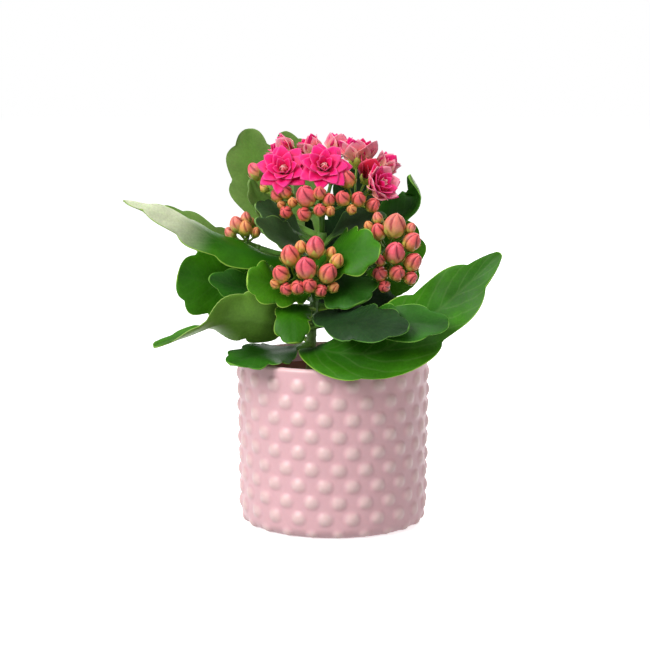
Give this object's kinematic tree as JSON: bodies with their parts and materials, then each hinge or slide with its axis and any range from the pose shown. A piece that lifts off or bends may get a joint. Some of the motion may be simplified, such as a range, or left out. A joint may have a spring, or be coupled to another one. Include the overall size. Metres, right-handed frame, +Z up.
{
  "type": "potted kalanchoe",
  "caption": "Flowering potted kalanchoe: fleshy scalloped leaves, clusters of double pink flowers and coral buds on branched stalks, in a round pink hobnail cover pot.",
  "frame": {"origin": "centre of the pot's underside, on the surface that it stands on", "axes": "+Z up along the pot's axis; -Y is the front, which the reference view looks at; +X is to the viewer's right"},
  "size_m": [0.1663, 0.1295, 0.1792],
  "materials": {
    "pink_glaze": "satin pink glaze, paler on the bumps",
    "grower_plastic": "thin matt nursery-pot plastic",
    "potting_soil": "moist dark potting soil",
    "stem_green": "fleshy green stem",
    "leaf_green": "fleshy waxy green leaf, paler below",
    "petal_pink": "soft magenta-pink petal",
    "bud_coral": "closed coral bud, yellow-green at its base"
  },
  "bodies": {
    "root": {"bract_left_low": "leaf_green", "bract_left_mid": "leaf_green", "bract_left_upper": "leaf_green", "bract_right": "leaf_green", "bud_front_1": "bud_coral", "bud_front_2": "bud_coral", "bud_front_3": "bud_coral", "bud_front_4": "bud_coral", "bud_front_5": "bud_coral", "bud_right_1": "bud_coral", "bud_right_2": "bud_coral", "bud_right_3": "bud_coral", "bud_right_4": "bud_coral", "bud_right_5": "bud_coral", "bud_top_1": "bud_coral", "bud_top_2": "bud_coral", "bud_top_3": "bud_coral", "flower_back": "petal_pink", "flower_back_left": "petal_pink", "flower_front_left": "petal_pink", "flower_front_right": "petal_pink", "flower_right_back": "petal_pink", "flower_right_low": "petal_pink", "flower_stalk_front": "stem_green", "flower_stalk_left": "stem_green", "flower_stalk_right": "stem_green", "flower_stalk_top": "stem_green", "flower_top": "petal_pink", "flower_top_right": "petal_pink", "flower_tulip": "petal_pink", "grower_pot": "grower_plastic", "leaf_back_left_tall": "leaf_green", "leaf_back_low": "leaf_green", "leaf_back_low_left": "leaf_green", "leaf_back_low_right": "leaf_green", "leaf_back_middle": "leaf_green", "leaf_back_top": "leaf_green", "leaf_back_upright": "leaf_green", "leaf_front_center": "leaf_green", "leaf_front_left": "leaf_green", "leaf_front_right": "leaf_green", "leaf_front_upper": "leaf_green", "leaf_left_behind": "leaf_green", "leaf_left_broad": "leaf_green", "leaf_left_drooping": "leaf_green", "leaf_left_long": "leaf_green", "leaf_left_low": "leaf_green", "leaf_left_small": "leaf_green", "leaf_low_inner": "leaf_green", "leaf_low_outer": "leaf_green", "leaf_right_broad": "leaf_green", "leaf_right_curled": "leaf_green", "leaf_right_long": "leaf_green", "leaf_right_small": "leaf_green", "main_stem": "stem_green", "pot": "pink_glaze", "potting_soil": "potting_soil"}
  },
  "joints": []
}
